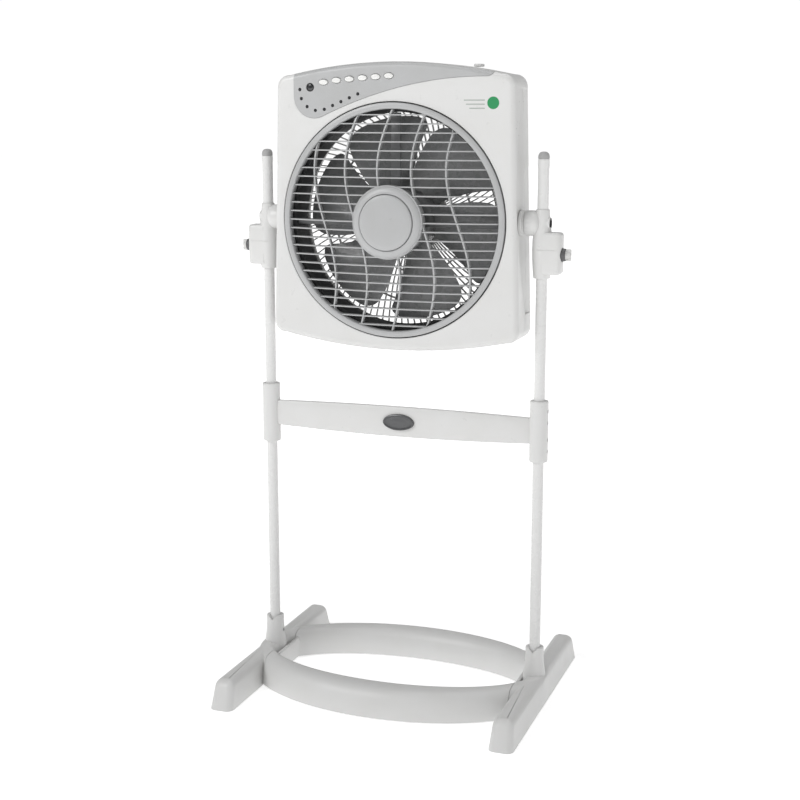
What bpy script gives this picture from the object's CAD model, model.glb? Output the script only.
import math

import bmesh
import bpy
from mathutils import Matrix, Vector


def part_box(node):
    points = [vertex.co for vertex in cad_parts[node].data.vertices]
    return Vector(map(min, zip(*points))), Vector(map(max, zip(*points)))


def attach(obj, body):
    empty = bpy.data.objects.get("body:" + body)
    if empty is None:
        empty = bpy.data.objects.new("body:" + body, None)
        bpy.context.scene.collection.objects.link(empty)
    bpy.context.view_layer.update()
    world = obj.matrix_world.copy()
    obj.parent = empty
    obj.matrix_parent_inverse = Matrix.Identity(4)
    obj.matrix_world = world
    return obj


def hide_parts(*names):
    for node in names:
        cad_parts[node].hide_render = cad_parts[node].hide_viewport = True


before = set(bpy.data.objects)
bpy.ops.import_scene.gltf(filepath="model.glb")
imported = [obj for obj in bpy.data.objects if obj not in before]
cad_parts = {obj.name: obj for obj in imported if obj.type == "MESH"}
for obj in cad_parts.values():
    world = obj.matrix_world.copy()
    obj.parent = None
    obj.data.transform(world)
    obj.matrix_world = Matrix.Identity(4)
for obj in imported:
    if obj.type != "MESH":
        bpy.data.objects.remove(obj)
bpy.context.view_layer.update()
MM = 0.001

# ---------------------------------------------------------------- studio
# A white sweep with broad soft light from the front left and from above, and a weaker one from the right. The
# floor glows more with distance, so that it meets the white room. The camera stands to the right of the fan.


def deselect():
    """Leave nothing selected, so that an operator acts on one piece only."""
    bpy.ops.object.select_all(action="DESELECT")


def soft_light(name, place, aim, width, height, power):
    """A rectangular studio light turned towards a point."""
    deselect()
    bpy.ops.object.light_add(type="AREA", location=place)
    light = bpy.context.object
    light.name = name
    light.data.shape = "RECTANGLE"
    light.data.size = width
    light.data.size_y = height
    light.data.energy = power
    light.rotation_euler = (Vector(aim) - Vector(place)).to_track_quat("-Z", "Y").to_euler()


middle_of_fan = (0, 0, 0.5)
soft_light("key_light", (-1.6, -2.2, 2.3), middle_of_fan, 1.4, 1.4, 42)
soft_light("top_light", (0.2, 0.3, 2.9), middle_of_fan, 1.8, 1.8, 19)
soft_light("right_light", (2.6, -0.5, 1.1), middle_of_fan, 0.8, 1.4, 7)

world = bpy.data.worlds.new("white_room")
world.use_nodes = True
bpy.context.scene.world = world
air = world.node_tree.nodes
seen = air.new("ShaderNodeLightPath")
white = air.new("ShaderNodeBackground")
white.inputs["Color"].default_value = (1, 1, 1, 1)
white.inputs["Strength"].default_value = 1.02
air["Background"].inputs["Color"].default_value = (1, 1, 1, 1)
air["Background"].inputs["Strength"].default_value = 0.26
pick_air = air.new("ShaderNodeMixShader")
world.node_tree.links.new(seen.outputs["Is Camera Ray"], pick_air.inputs["Fac"])
world.node_tree.links.new(air["Background"].outputs[0], pick_air.inputs[1])
world.node_tree.links.new(white.outputs[0], pick_air.inputs[2])
world.node_tree.links.new(pick_air.outputs[0], air["World Output"].inputs["Surface"])
bpy.context.scene.view_settings.view_transform = "Standard"

deselect()
bpy.ops.mesh.primitive_plane_add(size=40, location=(0, 0, -0.2 * MM))
floor = bpy.context.object
floor.name = "studio_floor"
paper = bpy.data.materials.new("white_paper")
paper.use_nodes = True
sheet = paper.node_tree.nodes["Principled BSDF"].inputs
sheet["Base Color"].default_value = (0.93, 0.93, 0.93, 1)
sheet["Roughness"].default_value = 0.9
sheet["Emission Color"].default_value = (1, 1, 1, 1)
spot = paper.node_tree.nodes.new("ShaderNodeTexCoord")
away = paper.node_tree.nodes.new("ShaderNodeVectorMath")
away.operation = "LENGTH"
glow = paper.node_tree.nodes.new("ShaderNodeMapRange")
for socket, value in (("From Min", 0.5), ("From Max", 2.2), ("To Min", 0.50), ("To Max", 1.0)):
    glow.inputs[socket].default_value = value
paper.node_tree.links.new(spot.outputs["Object"], away.inputs[0])
paper.node_tree.links.new(away.outputs["Value"], glow.inputs["Value"])
paper.node_tree.links.new(glow.outputs["Result"], sheet["Emission Strength"])
floor.data.materials.append(paper)

stand_point = Vector((0.70858, -1.99282, 0.86457))
look_at = Vector((-0.00165, 0, 0.44133))
bpy.ops.object.camera_add(location=stand_point)
camera = bpy.context.object
camera.name = "catalogue_camera"
camera.rotation_euler = (look_at - stand_point).to_track_quat("-Z", "Y").to_euler()
camera.data.angle = math.radians(30.69)
bpy.context.scene.camera = camera

# ---------------------------------------------------------------- feet
# Each foot is a long moulding in white polypropylene with a rounded top and leaning ends. The post's socket stands
# on it with a flared skirt, a notch at the mouth's front and two screw holes; the oval hoop's end crosses it.


def textured(name, colour, roughness, grain=0.5, mottle=0.04, scuff=0.0, metallic=0.0, coat=0.0, wave=0.25):
    """A moulded or painted finish: fine surface grain, faint mottling, uneven gloss, dusty creases and scuffs."""
    mat = bpy.data.materials.new(name)
    mat.use_nodes = True
    nodes = mat.node_tree.nodes
    links = mat.node_tree.links
    shader = nodes["Principled BSDF"]
    shader.inputs["Metallic"].default_value = metallic
    shader.inputs["Coat Weight"].default_value = coat
    shader.inputs["Coat Roughness"].default_value = 0.12
    place = nodes.new("ShaderNodeTexCoord")

    def noise(scale, detail, rough=0.55):
        made = nodes.new("ShaderNodeTexNoise")
        made.inputs["Scale"].default_value = scale
        made.inputs["Detail"].default_value = detail
        made.inputs["Roughness"].default_value = rough
        links.new(place.outputs["Object"], made.inputs["Vector"])
        return made.outputs["Fac"]

    def spread(fac, low, high):
        ranged = nodes.new("ShaderNodeMapRange")
        ranged.inputs["From Min"].default_value = 0.3
        ranged.inputs["From Max"].default_value = 0.7
        ranged.inputs["To Min"].default_value = low
        ranged.inputs["To Max"].default_value = high
        links.new(fac, ranged.inputs["Value"])
        return ranged.outputs["Result"]

    def tint(base, amount, darker):
        """Multiply a colour by a share of a darker one."""
        blend = nodes.new("ShaderNodeMix")
        blend.data_type = "RGBA"
        blend.blend_type = "MULTIPLY"
        links.new(amount, blend.inputs["Factor"])
        if isinstance(base, tuple):
            blend.inputs["A"].default_value = (*base, 1)
        else:
            links.new(base, blend.inputs["A"])
        blend.inputs["B"].default_value = (*darker, 1)
        return blend.outputs["Result"]

    cloud = spread(noise(22, 3), 0, 1)
    paint = tint(colour, cloud, (1 - mottle, 1 - mottle * 1.05, 1 - mottle * 1.3))
    crease = nodes.new("ShaderNodeNewGeometry")
    hollow = nodes.new("ShaderNodeMapRange")
    hollow.inputs["From Min"].default_value = 0.49
    hollow.inputs["From Max"].default_value = 0.42
    hollow.inputs["To Max"].default_value = 0.35
    links.new(crease.outputs["Pointiness"], hollow.inputs["Value"])
    paint = tint(paint, hollow.outputs["Result"], (0.62, 0.60, 0.57))
    if scuff:
        marks = nodes.new("ShaderNodeMapRange")
        marks.inputs["From Min"].default_value = 0.62
        marks.inputs["From Max"].default_value = 0.72
        marks.inputs["To Max"].default_value = scuff
        links.new(noise(95, 6, 0.7), marks.inputs["Value"])
        paint = tint(paint, marks.outputs["Result"], (0.70, 0.68, 0.64))
    links.new(paint, shader.inputs["Base Color"])
    links.new(spread(noise(60, 5, 0.65), roughness - 0.07, roughness + 0.09), shader.inputs["Roughness"])
    fine = nodes.new("ShaderNodeBump")
    fine.inputs["Strength"].default_value = grain
    fine.inputs["Distance"].default_value = 0.00012
    links.new(noise(1500, 2), fine.inputs["Height"])
    wavy = nodes.new("ShaderNodeBump")
    wavy.inputs["Strength"].default_value = wave
    wavy.inputs["Distance"].default_value = 0.0009
    links.new(noise(14, 1), wavy.inputs["Height"])
    links.new(fine.outputs["Normal"], wavy.inputs["Normal"])
    links.new(wavy.outputs["Normal"], shader.inputs["Normal"])
    return mat


def sides():
    """Left and right of the fan, with the sign of X."""
    return (("left", -1), ("right", 1))


def edit(piece):
    """Open one piece in edit mode with nothing selected."""
    deselect()
    piece.select_set(True)
    bpy.context.view_layer.objects.active = piece
    bpy.ops.object.mode_set(mode="EDIT")
    bpy.ops.mesh.select_all(action="DESELECT")


def leave():
    bpy.ops.object.mode_set(mode="OBJECT")


def pick(piece, test, kind="FACE"):
    """Select the faces, edges or points whose own place and direction pass a test, and nothing else."""
    bpy.ops.mesh.select_mode(type=kind)
    bpy.ops.mesh.select_all(action="DESELECT")
    bm = bmesh.from_edit_mesh(piece.data)
    if kind == "FACE":
        for face in bm.faces:
            face.select_set(test(face.calc_center_median(), face.normal))
    elif kind == "EDGE":
        for edge in bm.edges:
            low, high = (v.co for v in edge.verts)
            edge.select_set(test((low + high) / 2, (high - low).normalized()))
    else:
        for vert in bm.verts:
            vert.select_set(test(vert.co, vert.normal))
    bm.select_flush_mode()
    bmesh.update_edit_mesh(piece.data)


def box_piece(name, low, high):
    """A box between two corners, the start of a shaped piece."""
    deselect()
    size = [b - a for a, b in zip(low, high)]
    centre = [(a + b) / 2 for a, b in zip(low, high)]
    bpy.ops.mesh.primitive_cube_add(size=1, location=centre, scale=size)
    piece = bpy.context.object
    piece.name = name
    bpy.ops.object.transform_apply(location=True, rotation=True, scale=True)
    return piece


AXIS_TURN = {"X": (0, math.pi / 2, 0), "Y": (-math.pi / 2, 0, 0), "Z": (0, 0, 0)}
AXIS_LINE = {"X": Vector((1, 0, 0)), "Y": Vector((0, 1, 0)), "Z": Vector((0, 0, 1))}


def turned(name, profile, axis, centre, segments=64):
    """Raise a round piece ring by ring from a circle: the profile is (radius, place along the axis) in mm, and a
    profile that comes back to its first point makes a ring. An oval piece has (half width, half depth) radii."""
    rings = [((r, r) if not isinstance(r, tuple) else r, t) for r, t in profile]
    (first_a, first_b), first_t = rings[0]
    deselect()
    bpy.ops.mesh.primitive_circle_add(vertices=segments, radius=MM, location=(0, 0, 0))
    piece = bpy.context.object
    piece.name = name
    bpy.ops.object.mode_set(mode="EDIT")
    bpy.ops.mesh.select_all(action="SELECT")
    bpy.ops.transform.resize(value=(first_a, first_b, 1))
    bpy.ops.transform.translate(value=(0, 0, first_t * MM))
    closed = rings[0] == rings[-1]
    if not closed:
        bpy.ops.mesh.edge_face_add()
        bpy.ops.mesh.select_mode(type="EDGE")
    for ((a0, b0), t0), ((a1, b1), t1) in zip(rings, rings[1:]):
        bpy.ops.mesh.extrude_edges_move()
        bpy.ops.transform.resize(value=(a1 / a0, b1 / b0, 1))
        bpy.ops.transform.translate(value=(0, 0, (t1 - t0) * MM))
    if closed:
        bpy.ops.mesh.select_all(action="SELECT")
        bpy.ops.mesh.remove_doubles(threshold=1e-6)
    else:
        bpy.ops.mesh.edge_face_add()
    bpy.ops.mesh.select_all(action="SELECT")
    bpy.ops.mesh.normals_make_consistent(inside=False)
    leave()
    piece.rotation_euler = AXIS_TURN[axis]
    piece.location = centre
    deselect()
    piece.select_set(True)
    bpy.ops.object.transform_apply(location=True, rotation=True, scale=True)
    return piece


def apply(piece, kind, **settings):
    """Add a modifier to a piece and apply it."""
    deselect()
    piece.select_set(True)
    bpy.context.view_layer.objects.active = piece
    made = piece.modifiers.new(kind.lower(), kind)
    for key, value in settings.items():
        setattr(made, key, value)
    bpy.ops.object.modifier_apply(modifier=made.name)
    return piece


def weld_on(piece, other, operation="UNION", solver="MANIFOLD"):
    """Join another closed piece on, or cut it out, and throw it away."""
    apply(piece, "BOOLEAN", operation=operation, object=other, solver=solver)
    bpy.data.objects.remove(other, do_unlink=True)
    return piece


def cut_out(piece, other, solver="MANIFOLD"):
    return weld_on(piece, other, "DIFFERENCE", solver)


def ease(piece, width, segments=2, angle=35):
    """Round the sharp edges over by a small radius."""
    return apply(piece, "BEVEL", width=width, segments=segments, limit_method="ANGLE",
                 angle_limit=math.radians(angle), harden_normals=False, miter_outer="MITER_ARC")


def finished(piece, body, slot, mat, *nodes, angle=35):
    """Shade a piece, paint it, let it ride on its body and stand for its own CAD nodes."""
    deselect()
    piece.select_set(True)
    bpy.context.view_layer.objects.active = piece
    bpy.ops.object.shade_smooth_by_angle(angle=math.radians(angle))
    piece.data.materials.clear()
    piece.data.materials.append(mat)
    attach(piece, body)
    if nodes:
        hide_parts(*nodes)
    return piece


white_base = textured("white_base_plastic", (0.72, 0.72, 0.715), 0.40, grain=0.6, mottle=0.03, scuff=0.06)
SOCKET_SCREW_Z = (60, 30)


def hoop_ring(half_y, z):
    """Half axes of the oval whose half depth is given, and its height."""
    return ((half_y + 86 + 24 * (150 - half_y) / 56, half_y), z)


outer_wall = [(150, 2.2), (149.4, 8), (147.6, 18), (144.8, 28), (141.4, 35), (137, 39.6), (131, 42.2), (123, 43)]
inner_wall = [(113, 42.9), (106, 41.4), (101, 37.6), (97.4, 30), (95.2, 16), (94.2, 2.2)]

for side, sign in sides():
    foot_x, foot_top, half_wide = sign * 212 * MM, 42 * MM, 18 * MM
    foot = box_piece(f"{side}_foot_moulding", (foot_x - half_wide, -196 * MM, 0),
                     (foot_x + half_wide, 196 * MM, foot_top))
    edit(foot)
    bm = bmesh.from_edit_mesh(foot.data)
    for vert in bm.verts:
        if vert.co.z > foot_top / 2:
            vert.co = (foot_x + 0.82 * (vert.co.x - foot_x), 0.925 * vert.co.y, foot_top)
    bmesh.update_edit_mesh(foot.data)
    pick(foot, lambda p, d: abs(d.z) > 0.9, "EDGE")
    bpy.ops.mesh.bevel(offset=10 * MM, segments=8, affect="EDGES")
    pick(foot, lambda p, d: p.z > foot_top - 1e-5, "EDGE")
    bpy.ops.mesh.bevel(offset=11 * MM, segments=8, affect="EDGES")
    leave()
    band = turned("oval_end", [hoop_ring(*p) for p in outer_wall + inner_wall + outer_wall[:1]], "Z", (0, 0, 0), 192)
    near, far = sorted((sign * 193.2 * MM, sign * 229.4 * MM))
    weld_on(band, box_piece("end_block", (near, -1, -1), (far, 1, 1)), "INTERSECT")
    weld_on(foot, band)
    post = (sign * 210 * MM, 0, 0)
    skirt = turned("skirt", [(17, 30), (16.9, 38), (16.4, 43), (15.4, 49), (14.4, 56), (13.8, 64), (13.5, 72),
                             (13.5, 82.6), (13.1, 83.6), (12.2, 84)], "Z", post)
    weld_on(foot, skirt)
    cut_out(foot, turned("bore", [(8.4, 20), (8.4, 90)], "Z", post, 48))
    notch = box_piece("notch", (-5 * MM, -20 * MM, -5 * MM), (5 * MM, 0, 5 * MM))
    notch.rotation_euler = (0, math.pi / 4, 0)
    notch.location = (sign * 210 * MM, 0, 84.5 * MM)
    deselect()
    notch.select_set(True)
    bpy.ops.object.transform_apply(location=True, rotation=True, scale=True)
    cut_out(foot, notch)
    for z in SOCKET_SCREW_Z:
        hole = turned("hole", [(2.9, sign * 190), (2.9, sign * 201.7)], "X", (0, 0, z * MM), 24)
        cut_out(foot, hole)
    finished(foot, "stand", "shell_plastic", white_base, f"{side}_foot", angle=40)

# ---------------------------------------------------------------- base hoop
# The hoop is one upturned channel in the same white polypropylene, an oval whose ends are cut straight where
# they hook under the feet. Its outer wall leans in, its top is crowned and a web closes each end.


under_side = [(97.2, 2.2), (98.4, 16), (101.4, 32), (109, 38.2), (131, 38.4), (139, 32), (144.4, 18), (146.6, 2.2)]
outline = [hoop_ring(*p) for p in outer_wall + inner_wall + under_side + outer_wall[:1]]
hoop = turned("base_hoop_moulding", outline, "Z", (0, 0, 0), 192)
low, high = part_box("base_hoop")
edit(hoop)
for end in (low.x, high.x):
    bpy.ops.mesh.select_all(action="SELECT")
    bpy.ops.mesh.bisect(plane_co=(end, 0, 0), plane_no=(math.copysign(1, end), 0, 0), use_fill=True,
                        clear_outer=True, threshold=1e-6)
leave()
for end in (low.x, high.x):
    inner = end - math.copysign(5 * MM, end)
    near, far = sorted((inner, end))
    web = box_piece("web", (near, -60 * MM, 2.2 * MM), (far, 60 * MM, 34 * MM))
    weld_on(hoop, ease(web, 1.2 * MM))
finished(hoop, "stand", "shell_plastic", white_base, "base_hoop", angle=45)

# ---------------------------------------------------------------- posts
# Each post is two lengths of 16 mm steel tube, powder-coated white, that meet inside the crossbar's sleeve.
# A grey plug closes the top.

white_coat = textured("white_powder_coat", (0.74, 0.74, 0.735), 0.27, grain=0.2, mottle=0.01, coat=0.3, wave=0.03)
grey_plug = textured("grey_plug_plastic", (0.40, 0.40, 0.405), 0.5, grain=0.6, mottle=0.06)

for side, sign in sides():
    post = (sign * 210 * MM, 0, 0)
    for half in ("lower", "upper"):
        low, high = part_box(f"{side}_{half}_tube")
        base, top = low.z / MM, high.z / MM
        wall = [(6.8, base), (7.6, base), (8, base + 0.4), (8, top - 0.4), (7.6, top), (6.8, top), (6.8, base)]
        tube = turned(f"{side}_{half}_tube_steel", wall, "Z", post, 48)
        finished(tube, "stand", "post_paint", white_coat, f"{side}_{half}_tube")
    low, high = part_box(f"{side}_post_cap")
    top = high.z / MM
    plug = [(6.4, top - 22), (6.4, top - 9.7), (7.9, top - 9.7), (8, top - 9), (7.9, top - 6.2), (7.3, top - 3.8),
            (6.2, top - 1.9), (4.4, top - 0.6), (2, top)]
    finished(turned(f"{side}_post_plug", plug, "Z", post, 48), "stand", "cap_grey", grey_plug, f"{side}_post_cap")

# ---------------------------------------------------------------- crossbar
# A flat lens-shaped bar with a sleeve at each end, one white moulding. Four screws through each sleeve's outer
# side hold the tubes, and an oval plate is let into its middle; the plate is blank but for a raised rim.

white_shell = textured("white_shell_plastic", (0.705, 0.705, 0.70), 0.33, grain=0.45, mottle=0.03)
SLEEVE_SCREW_Z = (381, 398, 423, 440)
sleeve_low, sleeve_high = 365, 455

end = 203 * MM
bar = box_piece("crossbar_moulding", (-end, -0.5, -0.5), (end, 0.5, 0.5))
edit(bar)
for i in range(1, 24):
    bpy.ops.mesh.select_all(action="SELECT")
    bpy.ops.mesh.bisect(plane_co=(end * (i / 12 - 1), 0, 0), plane_no=(1, 0, 0))
for level in (-0.3, 0.0, 0.3):
    bpy.ops.mesh.select_all(action="SELECT")
    bpy.ops.mesh.bisect(plane_co=(0, 0, level), plane_no=(0, 0, 1))
bm = bmesh.from_edit_mesh(bar.data)
for vert in bm.verts:
    x, y, z = vert.co
    reach = x / end
    half = (23 - 4 * reach ** 2) * MM
    front = (-11 + 5 * reach ** 2) * MM
    crown = 1.6 * MM * (2 * z) ** 2 if y < 0 else 0
    vert.co = (x, (front + crown) if y < 0 else front + 9 * MM, 0.41 + 2 * z * half)
bmesh.update_edit_mesh(bar.data)
pick(bar, lambda p, d: abs(d.x) > 0.9 and abs(p.z - 0.41) > 0.0185 and abs(abs(p.x) - end) > 1e-4, "EDGE")
bpy.ops.mesh.bevel(offset=2.6 * MM, segments=4, affect="EDGES")
leave()
for side, sign in sides():
    post = (sign * 210 * MM, 0, 0)
    sleeve = [(11.6, sleeve_low), (12.8, sleeve_low + 0.4), (13.4, sleeve_low + 1.4), (13.5, sleeve_low + 3),
              (13.5, sleeve_high - 3), (13.4, sleeve_high - 1.4), (12.8, sleeve_high - 0.4), (11.6, sleeve_high)]
    weld_on(bar, turned("sleeve", sleeve, "Z", post, 64))
    cut_out(bar, turned("bore", [(8.4, sleeve_low - 5), (8.4, sleeve_high + 5)], "Z", post, 48))
    for z in SLEEVE_SCREW_Z:
        cut_out(bar, turned("hole", [(2.9, sign * 218), (2.9, sign * 230)], "X", (0, 0, z * MM), 24))
cut_out(bar, turned("seat", [((24.3, 12.3), -20), ((24.3, 12.3), -9.4)], "Y", (0, 0, 0.41), 64))
finished(bar, "stand", "shell_plastic", white_shell, "crossbar", angle=40)

dark_plate = textured("dark_plate_plastic", (0.075, 0.077, 0.082), 0.3, grain=0.3, mottle=0.15, coat=0.4)
plate = [((24, 12), -9.7), ((24, 12), -13), ((23.6, 11.6), -14), ((22.8, 10.8), -14.4), ((21.8, 9.8), -14.2),
         ((21.2, 9.2), -13.5), ((20.4, 8.4), -13.3), ((12, 4.6), -13.6), ((6, 2.2), -13.8)]
badge = turned("crossbar_oval_plate", plate, "Y", (0, 0, 0.41), 72)
finished(badge, "stand", "badge_grey", dark_plate, "crossbar_badge")

# ---------------------------------------------------------------- screws of the stand
# Zinc-plated pan-head screws with a cross recess, sunk in the holes of the sockets and the sleeves.

zinc = textured("zinc_plate", (0.50, 0.50, 0.51), 0.34, grain=0.3, mottle=0.10, metallic=1.0)


def sunk_screw(name, tip, face, centre, radius=2.2):
    """A screw along X from its tip to its face, with a cross-shaped recess in the face."""
    out = 1 if face > tip else -1
    body = turned(name, [(radius * 0.6, tip), (radius * 0.6, face - out * 1.6), (radius, face - out * 1.5),
                         (radius, face - out * 0.4), (radius * 0.8, face)], "X", centre, 32)
    for flat, tall in ((0.3, 1.4), (1.4, 0.3)):
        near, far = sorted(((face - out * 0.9) * MM, (face + out) * MM))
        slot = box_piece("slot", (near, centre[1] - flat * MM, centre[2] - tall * MM),
                         (far, centre[1] + flat * MM, centre[2] + tall * MM))
        cut_out(body, slot)
    return body


for side, sign in sides():
    for number, z in enumerate(SOCKET_SCREW_Z, 1):
        screw = sunk_screw(f"{side}_socket_screw_{number}_head", sign * 201.5, sign * 195.5, (0, 0, z * MM))
        finished(screw, "stand", "zinc_steel", zinc, f"{side}_socket_screw_{number}")
    for number, z in enumerate(SLEEVE_SCREW_Z, 1):
        screw = sunk_screw(f"{side}_sleeve_screw_{number}_head", sign * 218.6, sign * 222.2, (0, 0, z * MM))
        finished(screw, "stand", "zinc_steel", zinc, f"{side}_sleeve_screw_{number}")

# ---------------------------------------------------------------- brackets
# A slider grips each post. Its boss carries the head's pivot, and the round-cornered housing on its outer side
# holds the lock's clamp; a fine seam runs round the housing where its lower cover clips on.

PIVOT = Vector((0, 0, 0.707))
KNOB_AXIS = Vector((0, 0, 0.664))
hole_shade = textured("dull_grey_bore", (0.09, 0.09, 0.092), 0.6, grain=0.4, mottle=0.1)

for side, sign in sides():
    post = (sign * 210 * MM, 0, 0)
    slider = [(10.6, 630), (11.6, 630.6), (12.2, 633), (13.2, 645), (14, 658), (14.3, 671), (14, 682), (13.2, 692),
              (12, 702), (10.9, 712), (10.2, 720), (9.9, 724.5), (9.5, 726.2), (8.9, 726.8)]
    bracket = turned(f"{side}_bracket_moulding", slider, "Z", post, 64)
    near, far = sorted((sign * 213 * MM, sign * 239 * MM))
    housing = box_piece("housing", (near, -13.4 * MM, 636 * MM), (far, 13.4 * MM, 695 * MM))
    edit(housing)
    outer = sign * 239 * MM
    pick(housing, lambda p, d: abs(p.x - outer) < 1e-5 and abs(d.z) > 0.9, "EDGE")
    bpy.ops.mesh.bevel(offset=7 * MM, segments=6, affect="EDGES")
    pick(housing, lambda p, d: (p.z > 694.9 * MM or p.z < 636.1 * MM) and abs(p.x - sign * 213 * MM) > 1e-5, "EDGE")
    bpy.ops.mesh.bevel(offset=4.5 * MM, segments=4, affect="EDGES")
    leave()
    weld_on(bracket, housing)
    boss = [(17, sign * 186.6), (17.8, sign * 187), (18, sign * 187.8), (18, sign * 198), (17.4, sign * 201),
            (15.6, sign * 204), (12, sign * 207)]
    weld_on(bracket, turned("boss", boss, "X", PIVOT, 64))
    weld_on(bracket, turned("ear", [(8.6, sign * 212), (8.6, sign * 220.6), (8.2, sign * 221.5)], "X", PIVOT, 48))
    cut_out(bracket, turned("bore", [(8.4, 620), (8.4, 740)], "Z", post, 48))
    cut_out(bracket, turned("pin_bore", [(4.3, sign * 180), (4.3, sign * 200.5)], "X", PIVOT, 32))
    cut_out(bracket, turned("pin_hole", [(5.6, sign * 218.7), (5.6, sign * 226)], "X", PIVOT, 40))
    seam = box_piece("seam", (-0.3, -30 * MM, 670.8 * MM), (0.3, 30 * MM, 671.2 * MM))
    cut_out(seam, box_piece("kept", (-0.2385, -12.9 * MM, 0.6), (0.2385, 12.9 * MM, 0.7)))
    cut_out(bracket, seam)
    cut_out(bracket, turned("screw_bore", [(3.4, sign * 216), (3.4, sign * 245)], "X", KNOB_AXIS, 24))
    cut_out(bracket, turned("knob_seat", [(10.2, sign * 236), (10.2, sign * 245)], "X", KNOB_AXIS, 48))
    finished(bracket, "carriage", "shell_plastic", white_shell, f"{side}_bracket", angle=40)
    bracket.data.materials.append(hole_shade)
    for face in bracket.data.polygons:
        out = (face.center - Vector((face.center.x, 0, PIVOT.z))).length
        if abs(face.center.x) > 0.2185 and out < 0.0057 and face.center.z > 0.7:
            face.material_index = 1

# ---------------------------------------------------------------- lock knobs
# A grey thumb knob on a clamp screw stands in the seat on each housing. Its round skirt is fluted and a flat
# wing crosses its face.

grey_knob = textured("grey_knob_plastic", (0.11, 0.11, 0.115), 0.38, grain=0.5, mottle=0.08)
pale_grip = textured("pale_grip_plastic", (0.66, 0.66, 0.655), 0.36, grain=0.5, mottle=0.05)

for side, sign in sides():
    shape = [(3, 219.4), (3, 236.8), (8.2, 236.8), (8.8, 237.4), (9, 238.4), (9, 242.6), (8.6, 243.8), (7.6, 244.6),
             (5.4, 245.2), (4, 250.4), (2.6, 251.4)]
    knob = turned(f"{side}_thumb_knob", [(r, sign * t) for r, t in shape], "X", KNOB_AXIS, 60)
    near, far = sorted((sign * 243.5 * MM, sign * 251.8 * MM))
    wing = box_piece("wing", (near, -2.1 * MM, (664 - 8.2) * MM), (far, 2.1 * MM, (664 + 8.2) * MM))
    weld_on(knob, ease(wing, 1.3 * MM, 3))
    finished(knob, f"{side}_lock", "cap_grey", grey_knob, f"{side}_lock_knob")
    knob.data.materials.append(pale_grip)
    for face in knob.data.polygons:
        if abs(face.center.x) > 0.2444:
            face.material_index = 1

# ---------------------------------------------------------------- rear casing
# The rear casing closes the back of the head. It is a shallow white moulding with a rounded back edge, a round
# opening for the grille, four screw holes and the hole of the cord's outlet.

FACE_Y, SPLIT_Y, BACK_Y, WALL = -38, 22, 40, 2.5


def head_form(name, inset, front, back, round_front, round_back):
    """The head's outer form in mm between two planes, drawn in all round by an inset: sides that taper upwards,
    bowed top and bottom, round corners and a rounded front or back edge."""
    form = box_piece(name, (-1, front * MM, -1), (1, back * MM, 1))
    edit(form)
    for i in range(29):
        bpy.ops.mesh.select_all(action="SELECT")
        bpy.ops.mesh.bisect(plane_co=(0.9 * (i / 14 - 1), 0, 0), plane_no=(1, 0, 0))
    pick(form, lambda p, d: abs(d.y) > 0.99)
    bpy.ops.mesh.dissolve_faces()
    bm = bmesh.from_edit_mesh(form.data)
    radius = 16 - inset
    for vert in bm.verts:
        half, corner, bow = (176 - inset, 911 - inset, 18) if vert.co.z > 0 else (187 - inset, 540 + inset, -19)
        along = min(1, abs(vert.co.x) * half / (half - radius))
        vert.co = (vert.co.x * half * MM, vert.co.y, (corner + bow * (1 - along ** 2)) * MM)
    bmesh.update_edit_mesh(form.data)
    pick(form, lambda p, d: abs(d.y) > 0.9 and abs(p.x) > (175.5 - inset) * MM, "EDGE")
    bpy.ops.mesh.bevel(offset=radius * MM, segments=10, affect="EDGES")
    for rounded, plane in ((round_front, front), (round_back, back)):
        if rounded:
            pick(form, lambda p, d: abs(p.y - plane * MM) < 1e-5, "EDGE")
            bpy.ops.mesh.bevel(offset=(8 - inset) * MM, segments=8, affect="EDGES", clamp_overlap=False)
    leave()
    return form


def side_hollow(sign, depth, grow=0.0):
    """A cutter for the shallow lens-fronted recess of one side wall, deepest at its front and run out at the back."""
    cutter = box_piece("side_hollow", (-depth, 0, -1), (20, 1, 1))
    edit(cutter)
    bpy.ops.mesh.select_all(action="SELECT")
    bpy.ops.mesh.bisect(plane_co=(0, 0.5, 0), plane_no=(0, 1, 0))
    for i in range(1, 28):
        bpy.ops.mesh.select_all(action="SELECT")
        bpy.ops.mesh.bisect(plane_co=(0, 0, i / 14 - 1), plane_no=(0, 0, 1))
    bm = bmesh.from_edit_mesh(cutter.data)
    for vert in bm.verts:
        reach, y, t = vert.co
        z = 735 + (158 + grow) * t
        wall = 187 - 11 * (z - 540) / 371
        front = 5 - (38 + grow) * (1 - t * t)
        if reach < 0 and y > 0.75:
            reach += 4.3
        depth_y = front if y < 0.25 else 19.5 if y < 0.75 else BACK_Y + 1
        vert.co = (sign * (wall + reach) * MM, depth_y * MM, z * MM)
    bmesh.update_edit_mesh(cutter.data)
    bpy.ops.mesh.select_all(action="SELECT")
    bpy.ops.mesh.normals_make_consistent(inside=False)
    leave()
    return cutter


def hollow_out(shell, front, back, round_front, round_back, *keep):
    """Cut the side recesses and the room inside a shell; what is kept standing in the room is given as pieces."""
    room = head_form("room", WALL, front, back, round_front, round_back)
    for side, sign in sides():
        cut_out(shell, side_hollow(sign, 4))
        cut_out(room, side_hollow(sign, 4 + WALL, WALL))
    for solid in keep:
        cut_out(room, solid)
    cut_out(shell, room)


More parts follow.
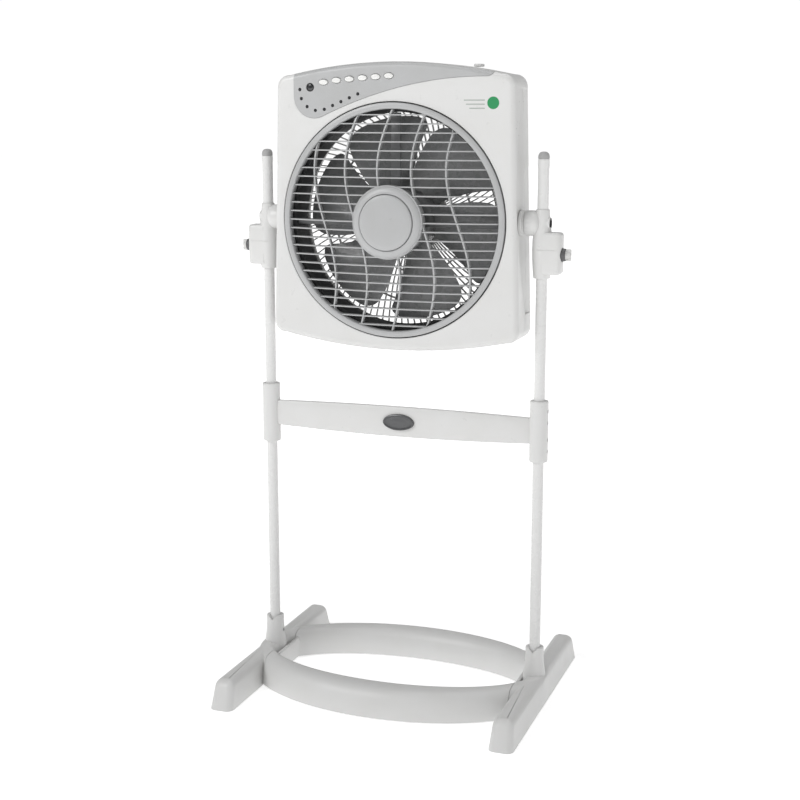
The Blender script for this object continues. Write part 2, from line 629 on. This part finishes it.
rear = head_form("rear_casing", 0, SPLIT_Y + 0.15, BACK_Y, False, True)
hollow_out(rear, SPLIT_Y - 5, BACK_Y - WALL, False, True)
cut_out(rear, turned("opening", [(164.9, 30), (164.9, 50)], "Y", PIVOT, 160))
SHELL_SCREWS = [(x, z) for x in (-160, 160) for z in (560, 890)]
CORD_AXIS = (-110 * MM, 0, 550 * MM)
for x, z in SHELL_SCREWS:
    cut_out(rear, turned("hole", [(2.2, 30), (2.2, 50)], "Y", (x * MM, 0, z * MM), 24))
cut_out(rear, turned("cord_hole", [(4.6, 30), (4.6, 50)], "Y", CORD_AXIS, 32))
edit(rear)
bpy.ops.mesh.select_all(action="SELECT")
bpy.ops.mesh.dissolve_degenerate(threshold=5e-6)
leave()
finished(rear, "head", "shell_plastic", white_shell, "rear_shell", angle=35)
apply(rear, "WEIGHTED_NORMAL", keep_sharp=True, weight=100)

for number, (x, z) in enumerate(SHELL_SCREWS, 1):
    body = [(1.9, 28.2), (1.9, 40.4), (4, 40.4), (4, 41), (3.5, 41.7), (2.4, 42)]
    screw = turned(f"casing_screw_{number}", body, "Y", (x * MM, 0, z * MM), 32)
    for wide, tall in ((0.4, 2.2), (2.2, 0.4)):
        cut_out(screw, box_piece("slot", ((x - wide) * MM, 41 * MM, (z - tall) * MM),
                                 ((x + wide) * MM, 43 * MM, (z + tall) * MM)))
    finished(screw, "head", "zinc_steel", zinc, f"shell_screw_{number}")

black_rubber = textured("black_rubber", (0.035, 0.035, 0.038), 0.55, grain=0.7, mottle=0.15)
neck = [(2.6, 32.2), (4.2, 32.2), (4.2, 40.4), (7, 40.4), (6.8, 42), (5.8, 43.2), (5.6, 44), (5.2, 44.6), (5.4, 45.4),
        (5, 46), (5.2, 46.8), (4.7, 47.6), (4.5, 49), (2.8, 49), (2.6, 48.6), (2.6, 32.2)]
gland = turned("cord_outlet_collar", neck, "Y", CORD_AXIS, 40)
finished(gland, "head", "dark_plastic", black_rubber, "cable_gland")

# ---------------------------------------------------------------- rear grille
# Ninety-six fine ribs spiral slightly from a round plate to the rim, tied by two rings, one white moulding that
# snaps into the rear casing. It bulges back to clear the motor.

GRILLE_R, PLATE_R, GRILLE_RIBS = 164.6, 48, 96


def warp(piece, move):
    """Move each point of a piece to where a function says, in mm."""
    edit(piece)
    bm = bmesh.from_edit_mesh(piece.data)
    for vert in bm.verts:
        vert.co = Vector(move(*(vert.co / MM))) * MM
    bm.normal_update()
    bmesh.update_edit_mesh(piece.data)
    leave()
    return piece


def strip(name, low, high, axis, cuts, bevel=0.0, segments=1):
    """A thin bar in mm cut across at even steps along an axis, ready to be bent."""
    bar = box_piece(name, [v * MM for v in low], [v * MM for v in high])
    edit(bar)
    start, stop = low["XYZ".index(axis)] * MM, high["XYZ".index(axis)] * MM
    line = AXIS_LINE[axis]
    if bevel:
        pick(bar, lambda p, d: abs(d.dot(line)) > 0.9, "EDGE")
        bpy.ops.mesh.bevel(offset=bevel * MM, segments=segments, affect="EDGES")
    for i in range(1, cuts):
        bpy.ops.mesh.select_all(action="SELECT")
        bpy.ops.mesh.bisect(plane_co=line * (start + (stop - start) * i / cuts), plane_no=line)
    leave()
    return bar


def turned_copies(piece, count, axis="Y", centre=PIVOT):
    """Copies of a piece at even angles about an axis, joined with it as one mesh."""
    made = [piece]
    for i in range(1, count):
        copy = piece.copy()
        copy.data = piece.data.copy()
        bpy.context.collection.objects.link(copy)
        spin = Matrix.Rotation(math.tau * i / count, 4, axis)
        copy.data.transform(Matrix.Translation(centre) @ spin @ Matrix.Translation(-Vector(centre)))
        made.append(copy)
    return joined(made)


def joined(pieces):
    deselect()
    for piece in pieces:
        piece.select_set(True)
    bpy.context.view_layer.objects.active = pieces[0]
    bpy.ops.object.join()
    return pieces[0]


def back_bulge(r):
    """How far back the grille stands at a radius, in mm."""
    return 76 - 33 * max(0.0, (r - PLATE_R) / (GRILLE_R - PLATE_R)) ** 2.4


def rib_place(x, y, z):
    x /= 100
    r = PLATE_R - 3 + x * (GRILLE_R - PLATE_R + 1)
    turn = math.radians(14) * x ** 1.2
    return (r * math.cos(turn) - z * math.sin(turn), back_bulge(r) + y, 707 + r * math.sin(turn) + z * math.cos(turn))


rib = warp(strip("rear_guard", (0, -3.4, -0.9), (100, 0, 0.9), "X", 9), rib_place)
guard = turned_copies(rib, GRILLE_RIBS)
for radius in (84, 126):
    back = back_bulge(radius)
    hoop_line = [(radius - 1.3, back - 2.8), (radius + 1.3, back - 2.8), (radius + 1.3, back + 0.3),
                 (radius - 1.3, back + 0.3), (radius - 1.3, back - 2.8)]
    weld_on(guard, turned("tie_ring", hoop_line, "Y", PIVOT, 120))
rim = [(159.6, 37.2), (164.6, 37.2), (164.6, 42.4), (163.8, 43.6), (161.6, 44.4), (159.8, 44), (159.6, 43),
       (159.6, 37.2)]
weld_on(guard, turned("rim", rim, "Y", PIVOT, 160))
plate = [(20, 70.6), (44, 70.6), (47.4, 71.8), (48.4, 73.6), (48, 75.4), (46.6, 76), (38, 75.2), (36, 74.2),
         (14, 74.2), (12.4, 75.2), (6, 75.4)]
weld_on(guard, turned("plate", plate, "Y", PIVOT, 96))
finished(guard, "head", "shell_plastic", white_shell, "rear_grille", angle=40)

# ---------------------------------------------------------------- motor, shaft and impeller
# The motor's black-painted steel casing hangs on the grille's plate. Its shaft carries a six-bladed impeller in
# smoke-grey polystyrene, held by a domed nut.

black_paint = textured("black_motor_paint", (0.045, 0.045, 0.048), 0.42, grain=0.5, mottle=0.15, metallic=0.2)
smoke_grey = textured("smoke_grey_plastic", (0.23, 0.234, 0.238), 0.26, grain=0.3, mottle=0.08, coat=0.35)

casing = [(4.4, 43), (30, 43), (37, 43.4), (40.4, 45), (41.8, 47.6), (42, 50), (42, 55.4), (41.2, 55.9),
          (41.2, 57.1), (42, 57.6), (42, 66), (41, 68.8), (38, 70), (4.4, 70), (4.4, 64), (26.6, 64), (26.6, 46),
          (4.4, 46), (4.4, 43)]
motor = turned("fan_motor_casing", casing, "Y", PIVOT, 96)
vent = strip("vent", (30, 40, -1.4), (36, 45, 1.4), "X", 1)
vent.data.transform(Matrix.Translation(PIVOT))
cut_out(motor, turned_copies(vent, 16))
finished(motor, "head", "motor_paint", black_paint, "fan_motor")

spindle = [(3.4, -6), (4, -5.4), (4, 47), (25.4, 47), (26, 47.6), (26, 62.4), (25.4, 63), (4, 63), (4, 66.4),
           (3.4, 67)]
finished(turned("fan_shaft_and_rotor", spindle, "Y", PIVOT, 48), "fan", "zinc_steel", zinc, "motor_shaft_and_rotor")

BLADES, FAN_R, FAN_HUB_R = 6, 147, 46


def blade_place(x, y, z):
    """From a flat strip to one swept, twisted and cambered blade: x runs 0 to 100 outwards, z -100 to 100 across."""
    out, z = x / 100, z / 100
    r = FAN_HUB_R - 3 + (FAN_R - FAN_HUB_R + 3) * out
    nip = 1 - 0.10 * max(0.0, (out - 0.80) / 0.20) ** 3
    span = math.radians(54 - 1.5 * out) * nip
    turn = math.radians(53) - math.radians(10) * out ** 1.4 + span * z / 2
    pitch = 28 - 11 * out
    depth = 23 + 5 * out - pitch * z / 2 - 3 * math.cos(math.pi * z / 2)
    thick = y * (1.25 - 0.5 * out) * (1 - 0.45 * z * z)
    r -= 5 * max(0.0, (abs(z) - 0.7) / 0.3) ** 2 * out ** 4
    return (r * math.cos(turn), depth + thick, 707 + r * math.sin(turn))


blade = strip("smoke_impeller", (0, -1, -100), (100, 1, 100), "X", 22)
edit(blade)
for i in range(1, 24):
    bpy.ops.mesh.select_all(action="SELECT")
    bpy.ops.mesh.bisect(plane_co=(0, 0, (i / 12 - 1) / 10), plane_no=(0, 0, 1))
leave()
warp(blade, blade_place)
fan = turned_copies(blade, BLADES)
cup = [(4.6, 6), (36, 6), (41, 6.6), (44.4, 8.6), (46, 12), (46, 38.4), (45.4, 39), (43.4, 39), (43, 38.4), (43, 14),
       (12, 10), (12, 30), (4.6, 30), (4.6, 6)]
weld_on(fan, turned("cup", cup, "Y", PIVOT, 96))
finished(fan, "fan", "blade_grey", smoke_grey, "impeller", angle=40)

nut = [(3, -10), (6, -9.4), (9, -7.4), (11, -4.6), (12, -1.6), (12, 5.7), (4.3, 5.7), (4.3, -6.3), (3, -6.4)]
nut_piece = turned("impeller_nut_dome", nut, "Y", PIVOT, 48)
groove = strip("groove", (11.2, -4, -0.8), (13, 7, 0.8), "X", 1)
groove.data.transform(Matrix.Translation(PIVOT))
cut_out(nut_piece, turned_copies(groove, 12))
finished(nut_piece, "fan", "blade_grey", smoke_grey, "impeller_nut")

# ---------------------------------------------------------------- louvre drive
# A small geared motor turns the louvre. A dark three-armed carrier holds it in the mouth of the duct.

carrier_grey = textured("carrier_grey_plastic", (0.19, 0.193, 0.197), 0.42, grain=0.5, mottle=0.06)
ring = [(14, -22.4), (14.6, -23), (27.4, -23), (28, -22.4), (28, -17.6), (27.4, -17), (14.6, -17), (14, -17.6),
        (14, -22.4)]
carrier = turned("louvre_drive_carrier", ring, "Y", PIVOT, 72)
reach = 152
for low, high in (((-7, -22.5, 727), (7, -17.5, 707 + reach)), ((20, -22.5, 699), (reach - 0.3, -17.5, 707)),
                  ((-reach + 0.3, -22.5, 699), (-20, -17.5, 707))):
    arm = box_piece("arm", [v * MM for v in low], [v * MM for v in high])
    weld_on(carrier, ease(arm, 1 * MM, 2))
finished(carrier, "head", "blade_grey", carrier_grey, "louvre_motor_carrier")
gearbox = [(2.6, -57.5), (3, -57), (3, -44), (22.6, -43.6), (24, -42), (24, -24.4), (23.2, -23.4), (13.5, -23.4),
           (13.5, -16), (12.6, -15)]
finished(turned("louvre_gear_motor", gearbox, "Y", PIVOT, 64), "head", "zinc_steel", zinc, "louvre_motor")

# ---------------------------------------------------------------- front casing
# The front casing is one white moulding: face, side walls with their shallow recesses, the round well of the
# louvre and the duct round the impeller, whose inside is sprayed dark. A pocket at the top takes the panel.

WELL_R, DUCT_R, WELL_FLOOR_Y = 167.5, 153, -26


def panel_flat(name, grow, front, back):
    """The panel's teardrop outline in mm, extruded along Y: a round lobe whose lower edge sweeps up to the right."""
    radius = 31 + grow
    around = [math.radians(180 + 118 * i / 24) for i in range(25)]
    points = [(-118 + radius * math.cos(a), 882 + radius * math.sin(a)) for a in around]
    (x0, z0), (x1, z1) = points[-1], (138, 908 - grow)
    for i in range(1, 24):
        t = i / 24
        points.append((x0 + (x1 - x0) * t, z0 + (z1 - z0) * t + 56 * t * (1 - t)))
    for i in range(0, 9):
        t = math.radians(90 * i / 8)
        points.append((138 + (10 + grow) * math.sin(t), 918 - grow - 10 * math.cos(t)))
    points += [(150 + grow, 940), (-118 - radius, 940)]
    mesh = bpy.data.meshes.new(name)
    mesh.from_pydata([(x * MM, front * MM, z * MM) for x, z in points], [], [list(range(len(points)))])
    flat = bpy.data.objects.new(name, mesh)
    bpy.context.collection.objects.link(flat)
    edit(flat)
    bpy.ops.mesh.select_all(action="SELECT")
    bpy.ops.mesh.extrude_region_move(TRANSFORM_OT_translate={"value": (0, (back - front) * MM, 0)})
    bpy.ops.mesh.select_all(action="SELECT")
    bpy.ops.mesh.normals_make_consistent(inside=False)
    leave()
    return flat


front = head_form("front_casing", 0, FACE_Y, SPLIT_Y - 0.15, True, False)
well_wall = [(170, -60), (170, -23.5), (155.5, -23.5), (155.5, 17)]
hollow_out(front, FACE_Y + WALL, SPLIT_Y + 5, True, False, turned("well_wall", well_wall, "Y", PIVOT, 160))
bore = [(WELL_R + 0.8, -45), (WELL_R + 0.8, FACE_Y), (WELL_R, -37.2), (WELL_R, WELL_FLOOR_Y),
        (DUCT_R, WELL_FLOOR_Y), (DUCT_R, 30)]
cut_out(front, turned("well", bore, "Y", PIVOT, 160))
cut_out(front, panel_flat("pocket", 0.4, FACE_Y - 5, -30.7))
for side, sign in sides():
    cut_out(front, turned("hub_hole", [(10.3, sign * 170), (10.3, sign * 190)], "X", PIVOT, 48))
finished(front, "head", "shell_plastic", white_shell, "front_shell", angle=35)
apply(front, "WEIGHTED_NORMAL", keep_sharp=True, weight=100)
dark_spray = textured("dark_duct_spray", (0.055, 0.056, 0.058), 0.6, grain=0.6, mottle=0.1)
front.data.materials.append(dark_spray)
for face in front.data.polygons:
    out = Vector((face.center.x, 0, face.center.z - PIVOT.z)).length
    if out < 0.1678 and face.center.y > -0.0372:
        face.material_index = 1

# ---------------------------------------------------------------- pivots
# A flanged white hub is clamped to each side wall by a zinc-plated stud that runs on into the bracket's boss.

for side, sign in sides():
    flange = [(4.2, 174.2), (10, 174.2), (10, 178.6), (18, 178.6), (18.4, 179), (18.4, 181.8), (18, 182.4),
              (17.4, 182.8), (17.2, 183.4), (17.2, 186), (16.8, 186.3), (4.2, 186.3), (4.2, 174.2)]
    hub = turned(f"{side}_pivot_flange", [(r, sign * t) for r, t in flange], "X", PIVOT, 72)
    finished(hub, "head", "shell_plastic", white_shell, f"{side}_pivot_hub")
    stud = [(6, 171.4), (7, 172), (7, 173.9), (3.9, 173.9), (3.9, 198.4), (3.3, 199)]
    pin = turned(f"{side}_pivot_stud", [(r, sign * t) for r, t in stud], "X", PIVOT, 32)
    finished(pin, "head", "zinc_steel", zinc, f"{side}_pivot_pin")

# ---------------------------------------------------------------- seam clips
# Two small white tabs bridge the seam between the casings, one on top and one underneath.

for name, x, sign in (("top_seam_clip", 109, 1), ("bottom_seam_clip", 92, -1)):
    low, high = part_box(name)
    clip = ease(box_piece(f"{name}_tab", low, high), 1.3 * MM, 4)
    finished(clip, "head", "shell_plastic", white_shell, name)

# ---------------------------------------------------------------- control panel
# The panel is a separate pale grey moulding that fills the pocket at the top of the face. It has six oval keys in
# white, a curved row of nine small lights, and the receiver's window; a plain green spot and three lines mark it.

panel_grey = textured("panel_grey_plastic", (0.46, 0.465, 0.47), 0.38, grain=0.5, mottle=0.05, coat=0.05)
panel = head_form("control_panel_face", 0.8, -38.8, 20, True, False)
weld_on(panel, panel_flat("panel_outline", 0, -43, -31), "INTERSECT")
back_room = head_form("panel_room", 1.8, -36.2, 25, True, False)
cut_out(panel, back_room)
KEYS = [(-103 + 19.7 * i, 901 + 8.2 * (i / 5) ** 0.75) for i in range(6)]
for x, z in KEYS:
    hole = [((7.1, 4.2), -28), ((7.1, 4.2), -38.1), ((7.9, 5), -38.9), ((7.9, 5), -42)]
    cut_out(panel, turned("key_hole", hole, "Y", (x * MM, 0, z * MM), 48))
LIGHTS = [(-112 + 27.5 * math.cos(math.radians(a)), 889 + 27.5 * math.sin(math.radians(a)))
          for a in (176, 203, 233, 262, 291)]
LIGHTS += [(LIGHTS[-1][0] + 12.8 * i, LIGHTS[-1][1] + 5.3 * i) for i in range(1, 5)]
for x, z in LIGHTS:
    cut_out(panel, turned("light_hole", [(2.1, -28), (2.1, -38.4), (2.6, -39)], "Y", (x * MM, 0, z * MM), 24))
EYE = Vector((-0.1236, 0, 0.894))
cut_out(panel, turned("eye_hole", [(5.3, -28), (5.3, -38), (6.4, -39)], "Y", EYE, 48))
finished(panel, "head", "panel_grey", panel_grey, "control_panel", angle=35)
panel.data.materials.append(hole_shade)
holes = [(EYE.x / MM, EYE.z / MM, 6.3)] + [(x, z, 2.5) for x, z in LIGHTS]
for face in panel.data.polygons:
    place = Vector((face.center.x, 0, face.center.z))
    if any((place - Vector((x, 0, z)) * MM).length < radius * MM for x, z, radius in holes):
        face.material_index = 1

key_white = textured("key_white_plastic", (0.82, 0.82, 0.81), 0.32, grain=0.35, coat=0.15)
for number, (x, z) in enumerate(KEYS, 1):
    dome = [((6.2, 3.3), -34.2), ((6.6, 3.7), -34.6), ((6.6, 3.7), -39.6), ((6.35, 3.45), -40.15),
            ((5.8, 2.9), -40.45), ((4.2, 1.9), -40.58), ((2.2, 0.9), -40.6)]
    key = turned(f"key_{number}_cap", dome, "Y", (x * MM, 0, z * MM), 48)
    finished(key, f"key_{number}", "button_white", key_white, f"button_{number}", angle=50)

smoked = textured("smoked_window", (0.02, 0.021, 0.024), 0.12, grain=0.15, mottle=0.05, coat=0.8)
low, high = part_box("remote_receiver_window")
lens = [(4.6, high.y / MM), (5, high.y / MM - 0.4), (5, low.y / MM + 1), (4.5, low.y / MM + 0.4),
        (3, low.y / MM + 0.1), (1, low.y / MM)]
finished(turned("receiver_lens", lens, "Y", EYE, 40), "head", "dark_plastic", smoked, "remote_receiver_window",
         angle=50)
light_lens = textured("light_lens", (0.03, 0.031, 0.034), 0.2, grain=0.2, mottle=0.05, coat=0.6)
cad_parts["indicator_light_bar"].data.materials[0] = light_lens
board_green = textured("board_green_lacquer", (0.02, 0.11, 0.045), 0.3, grain=0.8, mottle=0.3, coat=0.3)
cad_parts["circuit_board"].data.materials[0] = board_green

printed_green = textured("printed_green", (0.015, 0.27, 0.09), 0.45, grain=0.2, mottle=0.05)
print_grey = textured("printed_grey", (0.36, 0.40, 0.375), 0.5, grain=0.2, mottle=0.05)
spot = turned("green_spot", [(8.5, -37.9), (8.5, -38.08)], "Y", (147 * MM, 0, 872 * MM), 48)
finished(spot, "head", "panel_grey", printed_green)
for number, (z, reach) in enumerate(((875, 30), (869.5, 27), (864, 22)), 1):
    line = box_piece(f"printed_line_{number}", ((135 - reach) * MM, -38.08 * MM, z * MM),
                     (135 * MM, -37.9 * MM, (z + 1.4) * MM))
    finished(line, "head", "panel_grey", print_grey)

# ---------------------------------------------------------------- louvre
# The round louvre turns slowly in front of the impeller. Twenty-five thin slats stand 12.4 mm apart, tied by five
# S-shaped ribs, inside a rim and round a domed hub with its own cap, all in pale grey plastic.

louvre_grey = textured("louvre_grey_plastic", (0.455, 0.46, 0.465), 0.34, grain=0.45, mottle=0.05, coat=0.08)
SLAT_STEP, SLATS, RIM_IN = 12.4, 25, 158


def front_dome(r):
    """How far forward the louvre stands at a radius, in mm."""
    return -58 + 19 * max(0.0, (r - 50) / 107) ** 1.6


def dished(x, y, z):
    return x, front_dome(math.hypot(x, z)) + y, 707 + z


ring = [(157.2, -29), (157, -29.4), (157, -39.6), (158, -41), (160, -41.5), (163.4, -41.3), (165.6, -40.2),
        (166, -38.8), (166, -29.4), (165.8, -29), (157.2, -29)]
louvre = turned("turning_louvre", ring, "Y", PIVOT, 160)
for i in range(SLATS):
    height = (i - SLATS // 2) * SLAT_STEP
    half = math.sqrt(RIM_IN ** 2 - height ** 2)
    slat = strip("slat", (-half, 0, height - 0.9), (half, 9.5, height + 0.9), "X", 40)
    edit(slat)
    pick(slat, lambda p, d: abs(d.x) > 0.9 and p.y < 1e-5, "EDGE")
    bpy.ops.mesh.bevel(offset=0.6 * MM, segments=3, affect="EDGES")
    leave()
    weld_on(louvre, warp(slat, dished))
for number in range(5):
    lean = (number - 2) * 50
    rib = strip("s_rib", (-1.1, 1.2, -156), (1.1, 9, 156), "Z", 48)

    def s_shape(x, y, z, lean=lean):
        x += lean - 17 * math.sin(math.pi * z / 156)
        limit = math.sqrt(max(0.0, RIM_IN ** 2 - z ** 2)) - 1
        x = max(-limit, min(limit, x))
        return dished(x, y, z)
    weld_on(louvre, warp(rib, s_shape))
boss = [(3.4, -44), (50, -44), (50.4, -46), (50.4, -60), (49.8, -61.6), (48, -63.2), (45, -64.6), (41.6, -65.4),
        (40.4, -65.2), (39.8, -64), (39.6, -62.4), (3.4, -62)]
middle = turned("hub_dish", [(51, -70), (51, -40)], "Y", PIVOT, 96)
cut_out(louvre, middle)
weld_on(louvre, turned("hub", boss, "Y", PIVOT, 96))
cut_out(louvre, turned("spindle_bore", [(3.5, -75), (3.5, -40)], "Y", PIVOT, 32))
sleeve = [(50.2, -45), (52, -45), (52, -60), (50.2, -60), (50.2, -45)]
weld_on(louvre, turned("sleeve", sleeve, "Y", PIVOT, 96))
finished(louvre, "louvre", "louvre_grey", louvre_grey, "louvre_grille", angle=40)
cap = [(38.6, -64.3), (39.2, -64.9), (39.2, -66.4), (38.6, -67.3), (37, -67.9), (30, -68.4), (20, -68.8), (8, -69)]
finished(turned("louvre_hub_disc", cap, "Y", PIVOT, 96), "louvre", "louvre_grey", louvre_grey, "louvre_hub_cap",
         angle=40)
